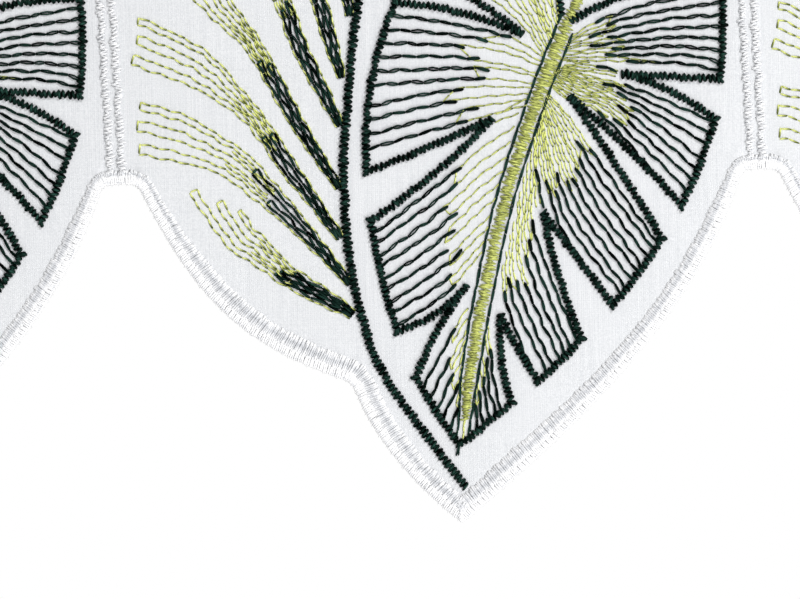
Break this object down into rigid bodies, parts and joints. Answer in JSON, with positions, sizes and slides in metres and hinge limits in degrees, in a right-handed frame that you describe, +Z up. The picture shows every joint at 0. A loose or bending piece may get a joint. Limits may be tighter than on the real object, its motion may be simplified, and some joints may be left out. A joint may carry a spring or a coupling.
{
  "type": "cafe curtain",
  "caption": "Flat hung cafe curtain of fine white cloth, with a scalloped satin-bordered lower edge and embroidered leaves in dark and light green.",
  "frame": {"origin": "middle of the top edge, at half the cloth's thickness", "axes": "+X along the width, +Z up, the embroidered front faces -Y"},
  "size_m": [0.5414, 0.0028, 0.3],
  "materials": {
    "white_cloth": "fine plain weave, matte, bleached white",
    "white_thread": "white satin embroidery thread, soft sheen",
    "dark_thread": "dark bottle green embroidery thread, soft sheen",
    "light_thread": "light yellow-green embroidery thread, soft sheen"
  },
  "bodies": {
    "root": {"cloth": "white_cloth", "border_edge": "white_thread", "border_satin": "white_thread", "row_1": "white_thread", "row_2": "white_thread", "row_3": "white_thread", "row_4": "white_thread", "row_5": "white_thread", "row_6": "white_thread", "row_7": "white_thread", "row_8": "white_thread", "row_9": "white_thread", "row_10": "white_thread", "leaf_outline_1": "dark_thread", "leaf_midrib_1": "light_thread", "frond_stem_1": "dark_thread", "leaf_outline_2": "dark_thread", "leaf_midrib_2": "light_thread", "frond_stem_2": "dark_thread", "leaf_outline_3": "dark_thread", "leaf_midrib_3": "light_thread", "frond_stem_3": "dark_thread", "leaf_outline_4": "dark_thread", "leaf_midrib_4": "light_thread", "frond_stem_4": "dark_thread", "leaf_outline_5": "dark_thread", "leaf_midrib_5": "light_thread", "frond_stem_5": "dark_thread"}
  },
  "joints": []
}
